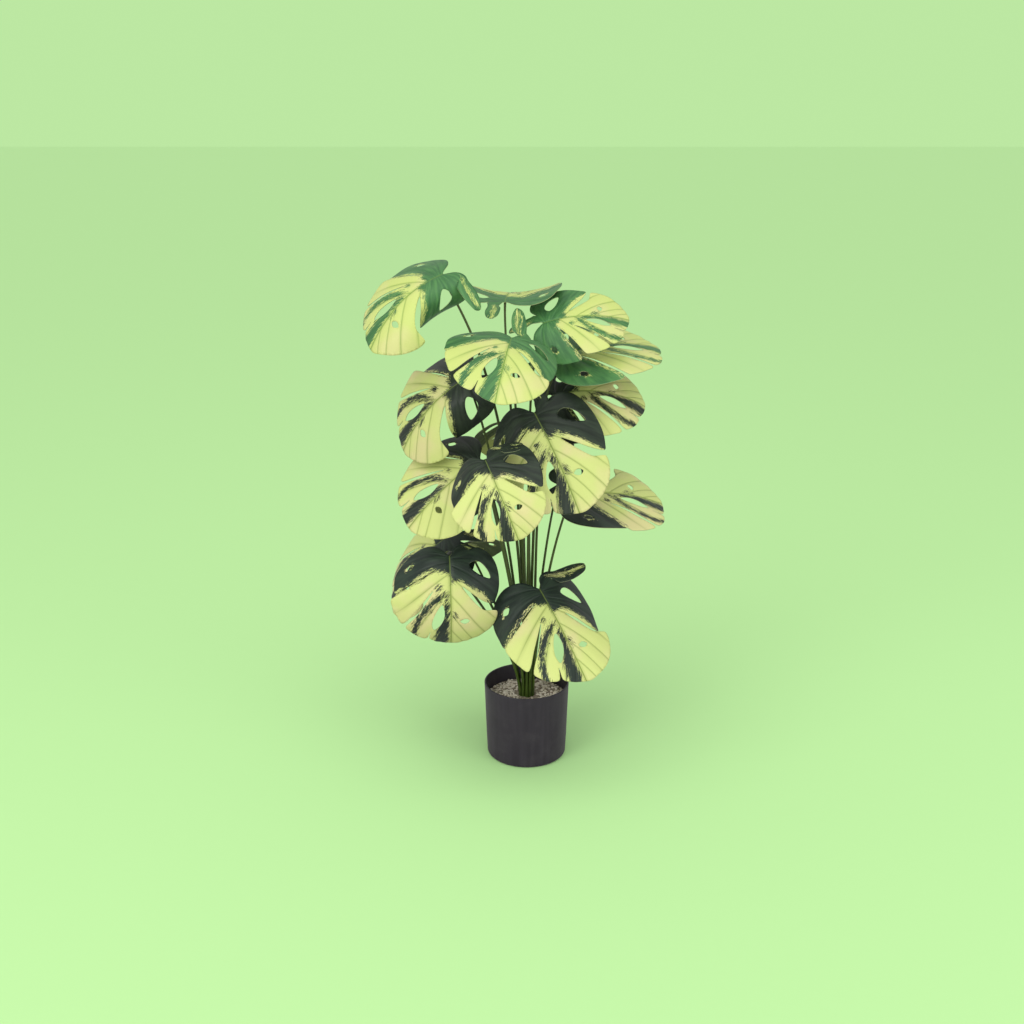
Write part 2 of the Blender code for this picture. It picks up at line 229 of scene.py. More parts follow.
pot_plastic, tree, shader = new_material("pot_plastic", 0.42)
pot_black = (0.025, 0.0220, 0.028, 1)
pot_streak = (0.036, 0.032, 0.040, 1)
pot_dust = (0.20, 0.195, 0.19, 1)
pot_streak_scale = (90, 90, 6)
pot_skin_scale = 1500.0
pot_skin_depth = 0.00012
spot = place(tree, "ShaderNodeTexCoord").outputs["Object"]
drawn = place(tree, "ShaderNodeMapping", {"Vector": spot, "Scale": pot_streak_scale}).outputs[0]
streaks = cloud(tree, drawn, 1.0, 3.0)
pot_tint = blend(tree, ramp(tree, streaks, 0.3, 0.8), pot_black, pot_streak)
worn = use_group(tree, dust, Colour=pot_tint, Dust_Colour=pot_dust, Amount=0.10, Scale=28.0, Roughness=0.40)
tree.links.new(worn.outputs["Colour"], shader.inputs["Base Color"])
tree.links.new(worn.outputs["Roughness"], shader.inputs["Roughness"])
pot_skin = sums(tree, "ADD", cloud(tree, spot, pot_skin_scale, 2.0), sums(tree, "MULTIPLY", streaks, 0.8))
bump(tree, shader, pot_skin, pot_skin_depth, 0.6)

finished("pot_shell", turned(pot_profile), [pot_plastic], ["pot"])


# ---- Filler ------------------------------------------------------------------------------------------
# The cast weight under the stones, which holds the stems upright. It's rough grey cement, and only shows
# where the stones part. The CAD solid stays.
cement, tree, shader = new_material("cement", 0.9)
spot = place(tree, "ShaderNodeTexCoord").outputs["Object"]
cement_dark = (0.22, 0.21, 0.19, 1)
cement_light = (0.42, 0.40, 0.37, 1)
cement_lump_scale = 220.0
cement_relief = 0.001
lumps = cloud(tree, spot, cement_lump_scale, 5.0, 0.6)
cement_tint = blend(tree, ramp(tree, lumps, 0.3, 0.7), cement_dark, cement_light)
tree.links.new(cement_tint, shader.inputs["Base Color"])
bump(tree, shader, lumps, cement_relief, 0.7)
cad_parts["filler"].material_slots[0].material = cement


# ---- Stones ------------------------------------------------------------------------------------------
# Loose crushed stone, cream to grey-beige chips of 4 to 8 mm, poured round the stems over a bed of the
# same chips. The bed is the CAD solid, and the chips lie in it and on it.
bed_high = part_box("gravel")[1]
bundle_radius = 0.0131
stone_mound = 0.003
chip_sink = 0.0008
wall_gap = 0.0008
stone_top = bed_high.z - stone_mound - chip_sink
chip_count = 820
smallest_chip = 0.0042
largest_chip = 0.0076
chip_easing = 0.07
chip_jostle = (-0.0022, 0.0016)
chip_tilt = (-0.6, 0.6)
chip_unevenness = (0.78, 1.12)
chip_stretches = ((0.8, 1.25), (0.7, 1.1), (0.5, 0.85))
stem_clearance = 0.45

chip_stone, tree, shader = new_material("chip_stone", 0.8)
spot = place(tree, "ShaderNodeTexCoord").outputs["Object"]
chip_beige = (0.66, 0.59, 0.47, 1)
chip_cream = (0.88, 0.83, 0.72, 1)
chip_vein = (0.40, 0.34, 0.25, 1)
chip_speck = (0.26, 0.22, 0.17, 1)
chip_relief = 0.0006
chip_tone = place(tree, "ShaderNodeAttribute", attribute_name="chip_tone").outputs["Fac"]
grain = cloud(tree, spot, 900.0, 4.0, 0.6)
veined = cloud(tree, spot, 180.0, 3.0, 0.7)
pale = blend(tree, chip_tone, chip_beige, chip_cream)
pale = blend(tree, ramp(tree, veined, 0.5, 0.75, 0.0, 0.3), pale, chip_vein)
pale = blend(tree, ramp(tree, grain, 0.35, 0.7, 0.12, 0.0), pale, chip_speck)
tree.links.new(pale, shader.inputs["Base Color"])
bump(tree, shader, grain, chip_relief, 0.5)

bed_stone, tree, shader = new_material("bed_stone", 0.9)
spot = place(tree, "ShaderNodeTexCoord").outputs["Object"]
bed_beige = (0.60, 0.54, 0.41, 1)
bed_shade = (0.24, 0.20, 0.15, 1)
bed_cell_scale = 210.0
bed_relief = 0.0015
cells = place(tree, "ShaderNodeTexVoronoi", {"Vector": spot, "Scale": bed_cell_scale})
from_middle = cells.outputs["Distance"]
bed_tint = blend(tree, ramp(tree, from_middle, 0.1, 0.6), bed_beige, bed_shade)
tree.links.new(bed_tint, shader.inputs["Base Color"])
bump(tree, shader, sums(tree, "SUBTRACT", 1.0, from_middle), bed_relief, 0.8)
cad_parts["gravel"].material_slots[0].material = bed_stone

chance = random.Random(11)
chips = bmesh.new()
tone_layer = chips.verts.layers.float.new("chip_tone")
for index in range(chip_count):
    size = chance.uniform(smallest_chip, largest_chip)
    share = math.sqrt(chance.random())
    reach = pot_inner_radius(pot_height) - wall_gap - size / 2
    near = bundle_radius + size * stem_clearance
    radius = near + (reach - near) * share
    around = chance.uniform(0, math.tau)
    rise = stone_top + stone_mound * (1 - (radius / reach) ** 2) + chance.uniform(*chip_jostle)
    chip = bmesh.ops.create_icosphere(chips, subdivisions=1, radius=size / 2)["verts"]
    stretch = Vector([chance.uniform(*stretches) for stretches in chip_stretches])
    for vert in chip:
        vert.co *= chance.uniform(*chip_unevenness)
        for axis in range(3):
            vert.co[axis] *= stretch[axis]
    tone = chance.random()
    chip_edges = list({edge for vert in chip for edge in vert.link_edges})
    eased = bmesh.ops.bevel(
        chips, geom=chip_edges, offset=size * chip_easing, offset_type="OFFSET", affect="EDGES", segments=1,
        profile=0.5, material=-1,
    )
    chip = list({vert for face in eased["faces"] for vert in face.verts})
    turn = Matrix.Rotation(chance.uniform(0, math.tau), 4, "Z")
    turn @= Matrix.Rotation(chance.uniform(*chip_tilt), 4, "X")
    lying = Matrix.Translation((radius * math.cos(around), radius * math.sin(around), rise))
    bmesh.ops.transform(chips, verts=chip, matrix=lying @ turn)
    for vert in chip:
        vert[tone_layer] = tone
finished("stone_chips", chips, [chip_stone], smooth=False)


# ---- Leaves ------------------------------------------------------------------------------------------
# Each leaf is one sheet of stiff fabric-backed plastic, die cut to one outline with slits and holes,
# printed cream and green, pressed so that the ribs sink in, and wired to hang in its own way.
leaf_length = 0.170
leaf_thickness = 0.0008
leaf_outline = [
    (0.0, -0.02), (0.04, -0.10), (0.11, -0.24), (0.19, -0.35), (0.27, -0.39), (0.32, -0.34), (0.29, -0.24),
    (0.20, -0.13), (0.17, -0.08), (0.28, -0.14), (0.40, -0.12), (0.48, -0.03), (0.52, 0.10), (0.53, 0.26),
    (0.52, 0.38), (0.49, 0.47), (0.455, 0.525), (0.34, 0.47), (0.20, 0.36), (0.11, 0.295), (0.19, 0.41),
    (0.31, 0.54), (0.44, 0.575), (0.45, 0.64), (0.42, 0.73), (0.35, 0.83), (0.26, 0.90), (0.15, 0.95),
    (0.05, 0.98), (-0.07, 0.96), (-0.15, 0.93), (-0.205, 0.885), (-0.195, 0.77), (-0.235, 0.88),
    (-0.31, 0.87), (-0.38, 0.82), (-0.43, 0.74), (-0.30, 0.55), (-0.16, 0.32), (-0.33, 0.53),
    (-0.46, 0.70), (-0.52, 0.62), (-0.56, 0.51), (-0.565, 0.41), (-0.40, 0.30), (-0.12, 0.12),
    (-0.38, 0.25), (-0.58, 0.36), (-0.61, 0.24), (-0.60, 0.08), (-0.52, -0.07), (-0.41, -0.16),
    (-0.28, -0.19), (-0.13, -0.14),
]
leaf_holes = [
    [(0.18, 0.08), (0.24, 0.03), (0.31, 0.04), (0.38, 0.11), (0.41, 0.20), (0.33, 0.19), (0.23, 0.14)],
    [(0.085, 0.64), (0.13, 0.61), (0.175, 0.64), (0.13, 0.67)],
    [(-0.08, 0.46), (-0.06, 0.56), (-0.09, 0.66), (-0.16, 0.74), (-0.18, 0.66), (-0.14, 0.54)],
    [(-0.36, 0.02), (-0.41, 0.0), (-0.45, 0.05), (-0.40, 0.07)],
]
curve_steps = 5
press_step = 0.024
rib_press = 0.0050
midrib_press = 0.0060
midrib_width = 0.014


def rounded_loop(points, steps=curve_steps):
    """A smooth closed line through the points."""
    loop = []
    count = len(points)
    for index in range(count):
        before, here, there, after = (Vector(points[(index + shift) % count]) for shift in (-1, 0, 1, 2))
        gap = (there - here).length
        pull = 0.5 * min(1.0, gap / max(0.0001, (there - before).length - gap))
        push = 0.5 * min(1.0, gap / max(0.0001, (after - here).length - gap))
        leave = (there - before) * pull
        arrive = (after - here) * push
        for step in range(steps):
            t = step / steps
            loop.append(
                here * (2 * t**3 - 3 * t**2 + 1) + leave * (t**3 - 2 * t**2 + t)
                + there * (3 * t**2 - 2 * t**3) + arrive * (t**3 - t**2)
            )
    return loop


def depth_inside(x, y, polygon):
    """Distance to the polygon's edge, positive inside it."""
    inside = False
    nearest = 9.0
    ax, ay = polygon[-1]
    for bx, by in polygon:
        if (ay > y) != (by > y) and x < (bx - ax) * (y - ay) / (by - ay) + ax:
            inside = not inside
        dx = bx - ax
        dy = by - ay
        t = max(0.0, min(1.0, ((x - ax) * dx + (y - ay) * dy) / (dx * dx + dy * dy)))
        nearest = min(nearest, math.hypot(x - ax - t * dx, y - ay - t * dy))
        ax, ay = bx, by
    return nearest if inside else -nearest


# Where the green is printed, and the cream flecks that break into it.
green_base = [
    (0.01, 0.26), (0.10, 0.24), (0.18, 0.29), (0.30, 0.375), (0.38, 0.455), (0.46, 0.56), (0.75, 0.62),
    (0.75, -0.60), (-0.80, -0.60), (-0.80, 0.50), (-0.60, 0.38), (-0.38, 0.27), (-0.13, 0.12), (-0.09, 0.16),
    (-0.015, 0.17),
]
green_streaks = [
    [(-0.04, 0.345), (-0.012, 0.45), (-0.02, 0.70), (-0.025, 0.90), (-0.05, 1.01), (-0.17, 0.99),
     (-0.163, 0.90), (-0.126, 0.71), (-0.08, 0.56), (-0.065, 0.45)],
    [(-0.04, 0.345), (-0.13, 0.385), (-0.234, 0.46), (-0.32, 0.586), (-0.37, 0.735), (-0.375, 0.87),
     (-0.326, 0.90), (-0.303, 0.706), (-0.243, 0.577), (-0.154, 0.478), (-0.09, 0.43)],
    [(0.02, 0.53), (0.05, 0.55), (0.05, 0.62), (0.025, 0.63)],
    [(-0.12, 0.27), (-0.09, 0.30), (-0.13, 0.33), (-0.155, 0.30)],
]
cream_flecks = [
    [(0.105, -0.15), (0.13, -0.15), (0.27, -0.33), (0.29, -0.365), (0.26, -0.365)],
    [(-0.15, 0.125), (-0.40, 0.255), (-0.60, 0.36), (-0.60, 0.34), (-0.40, 0.235), (-0.16, 0.115)],
    [(-0.375, 0.0), (-0.455, 0.03), (-0.46, 0.07), (-0.42, 0.03)],
]
# Ribs: where each leaves the midrib, its slope and its curve, from the back of the leaf to its tip.
right_ribs = [
    (-0.02, -1.2, 0.0), (0.02, -0.15, 0.6), (0.08, 0.45, 0.37), (0.20, 0.78, 0.75), (0.37, 1.05, 1.2),
    (0.56, 1.3, 2.5), (0.74, 1.6, 3.0), (1.0, 2.0, 3.0),
]
left_ribs = [
    (-0.04, -1.2, 0.0), (0.0, -0.35, 0.3), (0.05, 0.10, 0.45), (0.16, 0.65, 0.25), (0.33, 0.75, 1.6),
    (0.52, 1.6, 3.0), (0.74, 1.8, 3.0), (1.0, 2.0, 3.0),
]


def rib_number(across, along):
    """Whole on a rib, and running evenly from one rib to the next between them."""
    ribs = right_ribs if across > 0 else left_ribs
    width = abs(across)
    heights = [start + slope * width + curve * width * width for start, slope, curve in ribs]
    if along <= heights[0]:
        return max(-0.5, (along - heights[0]) / 0.15)
    for index in range(len(heights) - 1):
        if along <= heights[index + 1]:
            return index + (along - heights[index]) / (heights[index + 1] - heights[index])
    return len(heights) - 1.0


def green_depth(across, along):
    base = depth_inside(across, along, green_base)
    streak = max(depth_inside(across, along, streak) for streak in green_streaks)
    fleck = max(depth_inside(across, along, fleck) for fleck in cream_flecks)
    return min(max(base, streak), -fleck)


def press_depth(across, along):
    """How far the press lifts the sheet: ribs sunk, panels between them crowned. In leaf lengths."""
    width = abs(across)
    swell = math.sin(math.pi * rib_number(across, along)) ** 2
    away = min(1.0, width / 0.12)
    midrib = math.exp(-((across / midrib_width) ** 2)) * max(0.0, min(1.0, (1.0 - along) * 3))
    return rib_press * swell * away - midrib_press * midrib


blank = bmesh.new()
for loop in [leaf_outline] + leaf_holes:
    corners = [blank.verts.new((point.x, point.y, 0.0)) for point in rounded_loop(loop)]
    for here, there in zip(corners, corners[1:] + corners[:1]):
        blank.edges.new((here, there))
bmesh.ops.triangle_fill(blank, edges=blank.edges[:], use_beauty=True, use_dissolve=False, normal=(0, 0, 1))
bmesh.ops.dissolve_limit(blank, angle_limit=0.01, verts=[], edges=blank.edges)
# Cross lines over the blank, so that it has points to bend at, with two more close to the midrib.
midrib_line = 0.009
snap_distance = 0.0015
press_lines = [((0, row * press_step, 0), (0, 1, 0)) for row in range(-17, 42)]
press_lines += [((column * press_step, 0, 0), (1, 0, 0)) for column in range(-26, 24)]
press_lines += [((side * midrib_line, 0, 0), (1, 0, 0)) for side in (-1, 1)]
for point, normal in press_lines:
    whole = blank.verts[:] + blank.edges[:] + blank.faces[:]
    bmesh.ops.bisect_plane(blank, geom=whole, dist=snap_distance, plane_co=point, plane_no=normal)
bmesh.ops.triangulate(blank, faces=blank.faces)
bmesh.ops.recalc_face_normals(blank, faces=blank.faces)
# The hanging leaf's own axes mirror the sheet, so the printed face looks down here and up once it hangs.
if sum(face.normal.z for face in blank.faces) > 0:
    bmesh.ops.reverse_faces(blank, faces=blank.faces)
blank.verts.ensure_lookup_table()
flat_points = [(vert.co.x, vert.co.y) for vert in blank.verts]
printed = [green_depth(*point) for point in flat_points]
ribbed = [rib_number(*point) for point in flat_points]
pressed = [press_depth(*point) for point in flat_points]

# Each back lobe's hinge: its root, the way out from it, and the slit beside the lobe.
left_hinge = (Vector((-0.12, 0.12)), Vector((-0.954, -0.300)), Vector((-0.45, 0.265)))
right_hinge = (Vector((0.11, 0.30)), Vector((0.988, 0.156)), Vector((0.33, 0.27)))
hinge_width = 0.15
finger_hinge = Vector((0.10, -0.08))
finger_way_out = Vector((0.500, -0.866))
finger_turn_length = 0.12
finger_start = -0.02
finger_slope = 0.48


def arc(curve, length):
    """Run and drop of a strip that bends evenly by `curve` radians per unit of its length."""
    if abs(curve) < 0.0001:
        return length, 0.0
    return math.sin(curve * length) / curve, (1 - math.cos(curve * length)) / curve


def folded_lobe(point, flat, hinge, fold, side):
    """A back lobe curls down past its hinge line; the slit beside it lets it leave the blade."""
    root, way_out, slit = hinge
    offset = flat - root
    out = max(0.0, offset.dot(way_out))
    if side * (slit.x * offset.y - slit.y * offset.x) < -0.000001:
        return point
    curl = min(out, hinge_width)
    run, drop = arc(fold / hinge_width, curl)
    angle = fold * curl / hinge_width
    run += (out - curl) * math.cos(angle)
    drop += (out - curl) * math.sin(angle)
    shift = (run - out) * way_out
    return Vector((point.x + shift.x, point.y + shift.y, point.z - drop))


def hung(across, along, lift, leaf):
    """A point of the pressed sheet on the hanging leaf, from its junction, heading along -Y."""
    flat = Vector((across, along))
    if across > 0.0 and along < finger_start - finger_slope * across:
        turn, rise = leaf["finger"]
        offset = flat - finger_hinge
        out = max(0.0, offset.dot(finger_way_out))
        angle = turn * min(1.0, out / finger_turn_length)
        point = Vector((
            finger_hinge.x + offset.x * math.cos(angle) - offset.y * math.sin(angle),
            finger_hinge.y + offset.x * math.sin(angle) + offset.y * math.cos(angle),
            lift + out * math.tan(rise * out),
        ))
    else:
        point = folded_lobe(Vector((across, along, lift)), flat, left_hinge, leaf["lobes"][0], 1)
        point = folded_lobe(point, flat, right_hinge, leaf["lobes"][1], -1)
    hand = -1 if point.x < 0 else 1
    side = leaf["sides"][0] if hand < 0 else leaf["sides"][1]
    width = abs(point.x)
    run, drop = arc(side, width)
    sideways = hand * (run + point.z * math.sin(side * width))
    proud = point.z * math.cos(side * width) - drop
    slope = leaf["pitch"] + leaf["droop"] * point.y
    if abs(leaf["droop"]) < 0.0001:
        forward = math.cos(slope) * point.y
        down = math.sin(slope) * point.y
    else:
        forward = (math.sin(slope) - math.sin(leaf["pitch"])) / leaf["droop"]
        down = (math.cos(leaf["pitch"]) - math.cos(slope)) / leaf["droop"]
    forward += proud * math.sin(slope)
    up = proud * math.cos(slope) - down
    roll = leaf["roll"]
    x = sideways * math.cos(roll) + up * math.sin(roll)
    z = up * math.cos(roll) - sideways * math.sin(roll)
    return Vector((x, -forward, z)) * leaf["length"]


def hanging(name, at, heading, pitch, droop, roll, sides, size, lobes, stand, finger=(0, 0), reach=0.45,
            tone="low"):
    """How one leaf hangs. Angles in degrees: heading 0 to the front and 90 to the right."""
    return {
        "name": name, "at": Vector(at), "heading": math.radians(heading), "pitch": math.radians(pitch),
        "droop": math.radians(droop), "roll": math.radians(roll), "sides": [math.radians(a) for a in sides],
        "length": leaf_length * size, "lobes": [math.radians(a) for a in lobes],
        "finger": [math.radians(a) for a in finger], "stand": stand, "reach": reach, "tone": tone,
    }


leaves = [
    hanging("front_low_right", (0.02, -0.08, 0.32), 30, 35, 15, -5, (45, 45), 0.98, (25, 15),
            (2, 30), (60, 75)),
    hanging("front_low_left", (-0.12, -0.095, 0.38), 5, 40, 100, 0, (40, 50), 0.96, (20, 15),
            (2, -60), (60, -60)),
    hanging("front_middle", (-0.062, -0.165, 0.552), 10, 32, 58, -20, (30, 30), 0.78, (30, 0),
            (2, -30), (60, 0), tone="middle"),
    hanging("front_high_right", (0.01, -0.082, 0.602), 20, 42, 28, -15, (15, 40), 1, (50, 0),
            (2, 0), (-40, 80), tone="middle"),
    hanging("left_middle", (-0.075, -0.045, 0.52), -45, 25, 40, 25, (45, 45), 0.92, (5, 60),
            (1, -60), (-40, 0), tone="middle"),
    hanging("left_high", (-0.095, -0.03, 0.645), -60, 35, 55, 30, (40, 80), 0.98, (15, 50),
            (1, -120), (0, -60), tone="middle"),
    hanging("left_top", (-0.13, -0.02, 0.8), -60, 20, 55, 15, (30, 160), 0.96, (5, 60), (0, 0),
            (50, 60), 0.75, tone="top"),
    hanging("front_top", (-0.025, -0.075, 0.715), -5, 5, 50, 10, (25, 35), 0.9, (5, 15), (1, 0),
            (-50, 100), tone="top"),
    hanging("right_top", (0.025, 0.0, 0.725), 95, -20, 40, -25, (45, 0), 0.8, (25, 0), (1, 60),
            (-30, 0), tone="top"),
    hanging("right_high", (0.055, 0.02, 0.67), 110, -20, 40, -10, (30, 0), 1.0, (0, 0), (1, 120),
            (-30, 0), 0.9, tone="top"),
    hanging("right_middle", (0.04, 0.01, 0.61), 90, -20, 60, -25, (45, 20), 0.92, (20, 0),
            (2, 90), (0, 20), 0.3, tone="middle"),
    hanging("right_low", (0.07, -0.03, 0.46), 105, -5, 35, -20, (5, 10), 0.97, (-10, 0), (2, 60), (-60, 40)),
    hanging("back_top", (-0.035, 0.035, 0.752), 175, -10, 30, 0, (-40, -40), 0.85, (0, 0),
            (1, 180), (-30, 0), tone="top"),
    hanging("left_low", (-0.125, -0.005, 0.385), -75, 35, 45, 15, (40, 45), 1.0, (20, 40), (2, -90), (0, 0)),
    hanging("back_low_right", (0.045, 0.04, 0.43), 150, 0, 40, 0, (60, 60), 0.75, (15, 15),
            (2, 120), (-80, 40)),
    hanging("back_middle", (-0.01, 0.084, 0.55), 180, 20, 45, 0, (40, 40), 0.95, (15, 15),
            (2, 180), (-30, 0), tone="middle"),
    hanging("back_left_middle", (-0.07, 0.06, 0.48), -135, 25, 45, 0, (40, 40), 0.95, (15, 15),
            (2, -150), (-30, 0), tone="middle"),
    hanging("back_left_low", (-0.1, 0.06, 0.35), -135, 30, 40, 0, (40, 40), 0.85, (15, 15),
            (2, -120), (-30, 0)),
]

# The print: brushed edges along the ribs, thin rib lines, blotches in the cream, and a painted crease shade.
ink_and_shade, print_in, print_out = new_group(
    "leaf_print",
    [("Cream", COLOUR, (0.6, 0.6, 0.3, 1)), ("Blush", COLOUR, (0.7, 0.55, 0.3, 1)),
     ("Green", COLOUR, (0.05, 0.1, 0.05, 1)), ("Deep Green", COLOUR, (0.03, 0.05, 0.03, 1)),
     ("Rib", COLOUR, (0.2, 0.25, 0.08, 1)), ("Fade", FLOAT, 0.0)],
    [("Colour", COLOUR), ("Green Mask", FLOAT), ("Relief", FLOAT)],
)
depth = place(ink_and_shade, "ShaderNodeAttribute", attribute_name="green_depth").outputs["Fac"]
rib = place(ink_and_shade, "ShaderNodeAttribute", attribute_name="rib_number").outputs["Fac"]
seed = place(ink_and_shade, "ShaderNodeAttribute", attribute_name="leaf_seed").outputs["Fac"]
sheet = place(ink_and_shade, "ShaderNodeUVMap", uv_map="sheet").outputs["UV"]
sheet_axes = place(ink_and_shade, "ShaderNodeSeparateXYZ", {0: sheet}).outputs
across_width = sums(ink_and_shade, "ABSOLUTE", sheet_axes["X"])
side_sign = sums(ink_and_shade, "SIGN", sheet_axes["X"])
sheet_place = {"X": sheet_axes["X"], "Y": sheet_axes["Y"], "Z": seed}
sheet_spot = place(ink_and_shade, "ShaderNodeCombineXYZ", sheet_place).outputs[0]
brush_run = sums(ink_and_shade, "MULTIPLY", across_width, 0.9)
brush_place = {"X": rib, "Y": brush_run, "Z": sums(ink_and_shade, "ADD", seed, side_sign)}
brush_spot = place(ink_and_shade, "ShaderNodeCombineXYZ", brush_place).outputs[0]

# How far the green's edge wanders: strokes along the ribs, finer strokes, and a slow drift.
strokes = (
    (cloud(ink_and_shade, brush_spot, 9.0, 3.0, 0.7), 0.10),
    (cloud(ink_and_shade, brush_spot, 34.0, 3.0, 0.75), 0.17),
    (cloud(ink_and_shade, sheet_spot, 7.0, 3.0, 0.6), 0.05),
)
edge = depth
for stroke, spread in strokes:
    edge = sums(ink_and_shade, "ADD", edge, sums(ink_and_shade, "MULTIPLY", sums(ink_and_shade, "SUBTRACT", stroke, 0.5), spread))
green_mask = ramp(ink_and_shade, edge, -0.0025, 0.0035)

rib_gap = sums(ink_and_shade, "ABSOLUTE", sums(ink_and_shade, "SUBTRACT", rib, sums(ink_and_shade, "ROUND", rib)))
rib_fade = ramp(ink_and_shade, across_width, 0.30, 0.50, 1.0, 0.35)
rib_line = sums(ink_and_shade, "MULTIPLY", ramp(ink_and_shade, rib_gap, 0.008, 0.030, 1.0, 0.0), rib_fade)
# Painted shade along the pressed ribs and midrib: soft masks that darken the colour beside them and also sink
# the relief.
rib_crease_shade = sums(ink_and_shade, "MULTIPLY", ramp(ink_and_shade, rib_gap, 0.0, 0.14, 1.0, 0.0), rib_fade)
mid_line = ramp(ink_and_shade, across_width, 0.003, 0.008, 1.0, 0.0)
midrib_crease_shade = ramp(ink_and_shade, across_width, 0.004, 0.035, 1.0, 0.0)

blush_blotch = ramp(ink_and_shade, cloud(ink_and_shade, sheet_spot, 2.6, 2.0), 0.42, 0.72, 0.0, 0.6)
drawn_line = sums(ink_and_shade, "MAXIMUM", sums(ink_and_shade, "MULTIPLY", rib_line, 0.55), sums(ink_and_shade, "MULTIPLY", mid_line, 0.9))
speckle = ramp(ink_and_shade, cloud(ink_and_shade, sheet_spot, 150.0, 2.0), 0.56, 0.74, 0.0, 0.16)
cream = blend(ink_and_shade, blush_blotch, print_in.outputs["Cream"], print_in.outputs["Blush"])
# Painted shade beside the ribs and the midrib darkens the cream.
cream = blend(ink_and_shade, sums(ink_and_shade, "MULTIPLY", rib_crease_shade, 0.34), cream, print_in.outputs["Rib"])
cream = blend(ink_and_shade, sums(ink_and_shade, "MULTIPLY", midrib_crease_shade, 0.35), cream, print_in.outputs["Rib"])
cream = blend(ink_and_shade, drawn_line, cream, print_in.outputs["Rib"])
cream = blend(ink_and_shade, speckle, cream, print_in.outputs["Rib"])

green_mix = ramp(ink_and_shade, cloud(ink_and_shade, brush_spot, 5.0, 3.0), 0.35, 0.7)
green = blend(ink_and_shade, green_mix, print_in.outputs["Deep Green"], print_in.outputs["Green"])
# Painted shade beside the ribs darkens the green.
green = blend(ink_and_shade, sums(ink_and_shade, "MULTIPLY", rib_crease_shade, 0.45), green, print_in.outputs["Deep Green"])
green = blend(ink_and_shade, sums(ink_and_shade, "MULTIPLY", mid_line, 0.5), green, print_in.outputs["Rib"])
inked_and_shaded = blend(ink_and_shade, green_mask, cream, green)
inked_and_shaded = blend(ink_and_shade, print_in.outputs["Fade"], inked_and_shaded, print_in.outputs["Rib"])

fabric = sums(ink_and_shade, "MULTIPLY", cloud(ink_and_shade, sheet_spot, 90.0, 3.0), 0.18)
relief = sums(ink_and_shade, "MULTIPLY_ADD", sums(ink_and_shade, "MAXIMUM", rib_crease_shade, midrib_crease_shade), -1.0, fabric)
ink_and_shade.links.new(inked_and_shaded, print_out.inputs["Colour"])
ink_and_shade.links.new(green_mask, print_out.inputs["Green Mask"])
ink_and_shade.links.new(relief, print_out.inputs["Relief"])


def leaf_material(name, roughness, green_gloss, colours, fade=0.0):
    """One printing of the pattern, with painted crease shade; colours: cream, blush, green, deep green and
    rib.
    """
    material, tree, shader = new_material(name, roughness)
    cream, blush, green, deep, rib = [(*colour, 1.0) for colour in colours]
    printing = use_group(
        tree, ink_and_shade, Cream=cream, Blush=blush, Green=green, Deep_Green=deep, Rib=rib, Fade=fade
    )
    smoother = ramp(tree, printing.outputs["Green Mask"], 0.0, 1.0, roughness, roughness - green_gloss)
    tree.links.new(printing.outputs["Colour"], shader.inputs["Base Color"])
    tree.links.new(smoother, shader.inputs["Roughness"])
    bump(tree, shader, printing.outputs["Relief"], print_relief, 0.8)
    return material


print_relief = 0.0006
front_roughness = 0.52
back_roughness = 0.7
green_gloss = 0.08
back_fade = 0.25
yellow_creams = ((0.60, 0.68, 0.225), (0.72, 0.60, 0.34))
lime_creams = ((0.58, 0.68, 0.20), (0.68, 0.64, 0.30))
dull_creams = ((0.46, 0.52, 0.17), (0.48, 0.48, 0.20))
rib_olive = (0.20, 0.28, 0.05)
rib_lime = (0.18, 0.32, 0.05)
rib_dull = (0.14, 0.20, 0.05)
# Painted light from above: the top leaves get much lighter greens, front and back, than the low and middle
# leaves.
front_inks_and_painted_light = {
    "low": (*yellow_creams, (0.028, 0.048, 0.031), (0.014, 0.024, 0.018), rib_olive),
    "middle": (*yellow_creams, (0.030, 0.047, 0.028), (0.015, 0.023, 0.016), rib_olive),
    "top": (*lime_creams, (0.090, 0.250, 0.075), (0.048, 0.155, 0.052), rib_lime),
}
back_inks_and_painted_light = {
    "low": (*dull_creams, (0.050, 0.075, 0.028), (0.026, 0.042, 0.016), rib_dull),
    "middle": (*dull_creams, (0.050, 0.075, 0.028), (0.026, 0.042, 0.016), rib_dull),
    "top": (*dull_creams, (0.080, 0.20, 0.055), (0.045, 0.13, 0.035), rib_dull),
}
leaf_fronts = {
    tone: leaf_material("leaf_print_" + tone, front_roughness, green_gloss, inks)
    for tone, inks in front_inks_and_painted_light.items()
}
leaf_backs = {
    tone: leaf_material("leaf_back_" + tone, back_roughness, 0.0, inks, back_fade)
    for tone, inks in back_inks_and_painted_light.items()
}
leaf_edge, tree, shader = new_material("leaf_cut_edge", back_roughness)
edge_dark = (0.26, 0.32, 0.14, 1)
edge_pale = (0.46, 0.52, 0.26, 1)
spot = place(tree, "ShaderNodeTexCoord").outputs["Object"]
tree.links.new(blend(tree, cloud(tree, spot, 300.0, 2.0), edge_dark, edge_pale), shader.inputs["Base Color"])

